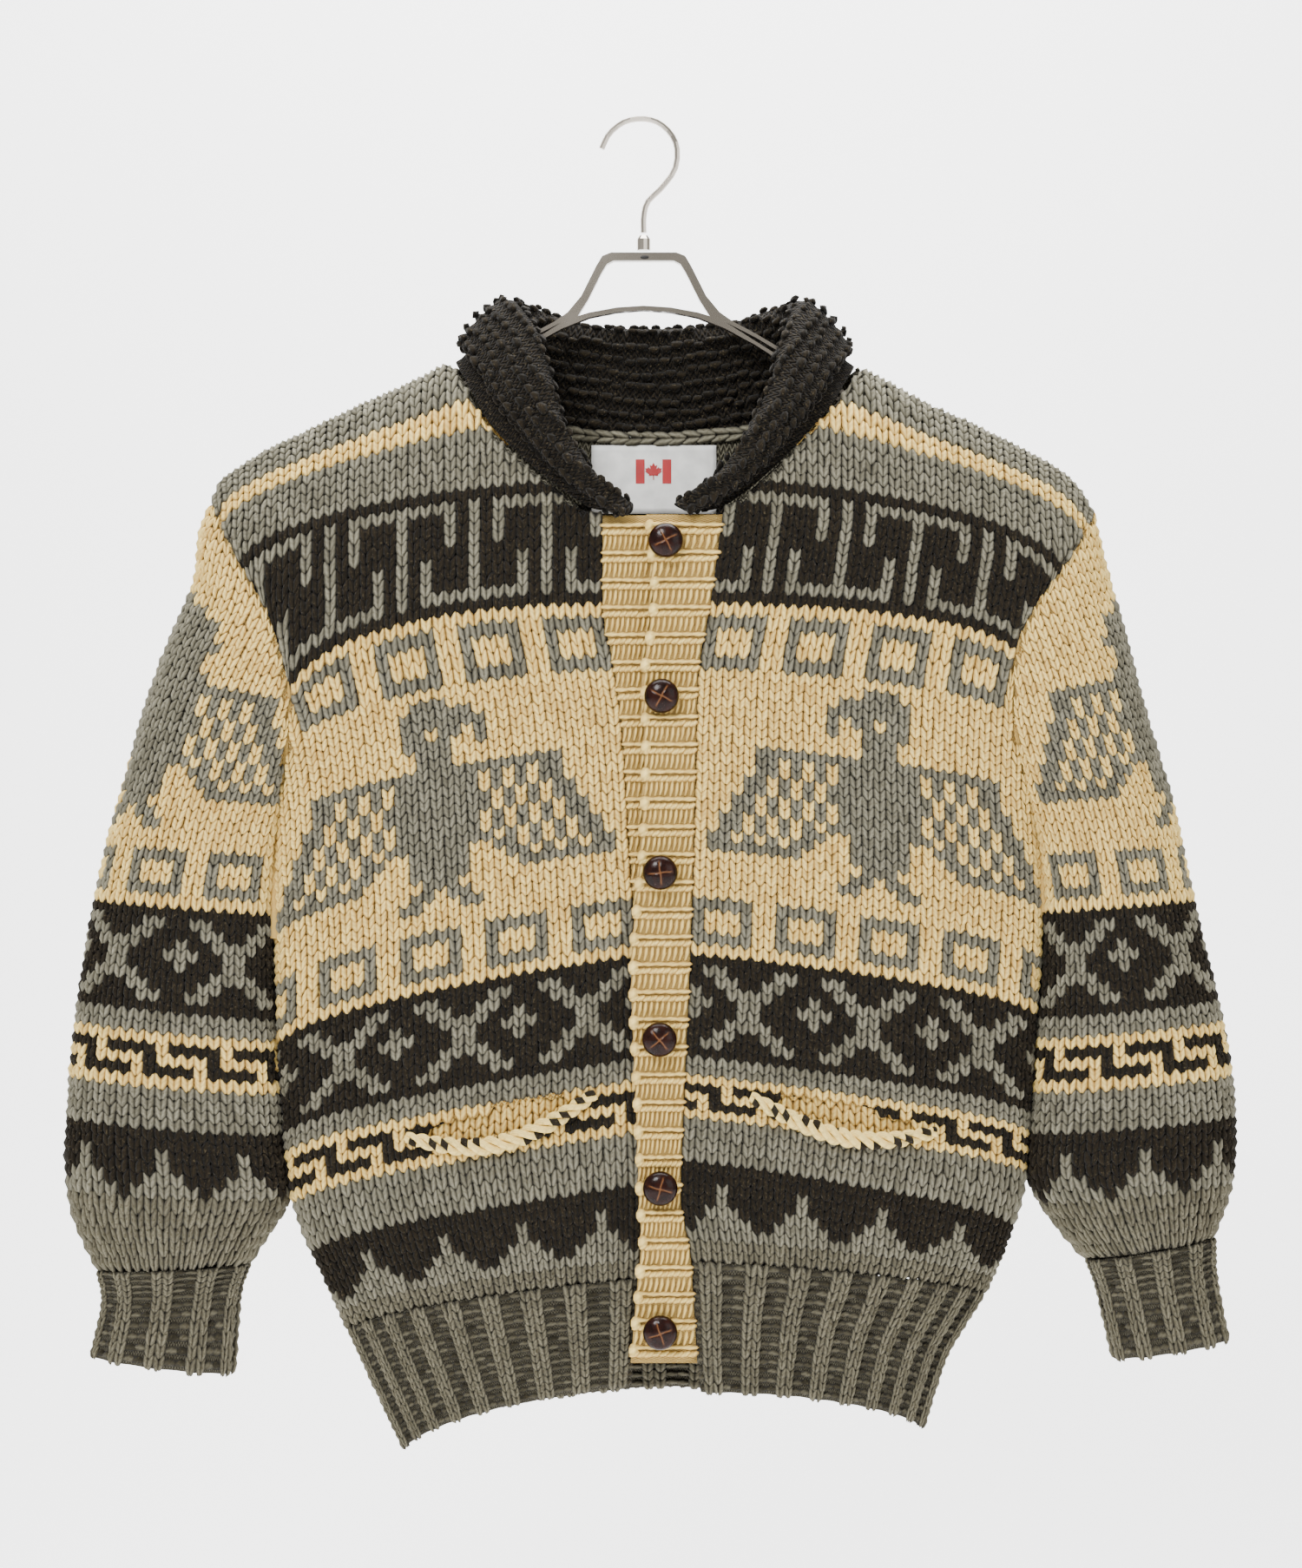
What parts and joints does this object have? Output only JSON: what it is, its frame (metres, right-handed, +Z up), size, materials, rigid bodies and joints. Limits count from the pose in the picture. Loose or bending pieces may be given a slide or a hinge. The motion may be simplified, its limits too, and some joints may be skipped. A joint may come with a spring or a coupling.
{
  "type": "cowichan cardigan on a hanger",
  "caption": "Heavy hand-knit wool cardigan with banded motifs, shawl collar, button front, slit pockets and ribbed hem, hanging buttoned on a plain hanger.",
  "frame": {"origin": "inside of the hook's crown, where a rail would carry the hanger", "axes": "+Z up along the hanging garment's length, -Y towards the buttoned front, +X to the right as seen from the front"},
  "size_m": [0.8595, 0.125, 0.9823],
  "materials": {
    "patterned_wool": "thick stocking-stitch wool in grey, cream and dark brown bands of motifs",
    "heather_wool": "grey-brown heather wool in a two by two rib",
    "cream_wool": "cream wool with crosswise garter ribs",
    "brown_wool": "dark brown garter-stitch wool",
    "brown_leather": "glossy dark brown woven leather button",
    "white_satin": "white satin ribbon, bare but for a country's flag",
    "smoky_metal": "glossy smoky grey, metallised",
    "nickel_wire": "bright nickel"
  },
  "bodies": {
    "root": {"back_upper": "patterned_wool", "back_lower": "patterned_wool", "front_left_upper": "patterned_wool", "front_left_lower": "patterned_wool", "front_right_upper": "patterned_wool", "front_right_lower": "patterned_wool", "sleeve_left_upper": "patterned_wool", "sleeve_left_elbow": "patterned_wool", "sleeve_left_lower": "patterned_wool", "sleeve_right_upper": "patterned_wool", "sleeve_right_elbow": "patterned_wool", "sleeve_right_lower": "patterned_wool", "hem_rib_back": "heather_wool", "hem_rib_left": "heather_wool", "hem_rib_right": "heather_wool", "cuff_left": "heather_wool", "cuff_right": "heather_wool", "band_over": "cream_wool", "band_under": "cream_wool", "pocket_lining_left": "cream_wool", "pocket_lining_right": "cream_wool", "pocket_lip_left": "cream_wool", "pocket_lip_right": "cream_wool", "collar": "brown_wool", "button_1": "brown_leather", "button_2": "brown_leather", "button_3": "brown_leather", "button_4": "brown_leather", "button_5": "brown_leather", "button_6": "brown_leather", "neck_label": "white_satin", "hanger_frame": "smoky_metal", "hanger_hook": "nickel_wire", "hanger_ferrule": "nickel_wire"}
  },
  "joints": []
}
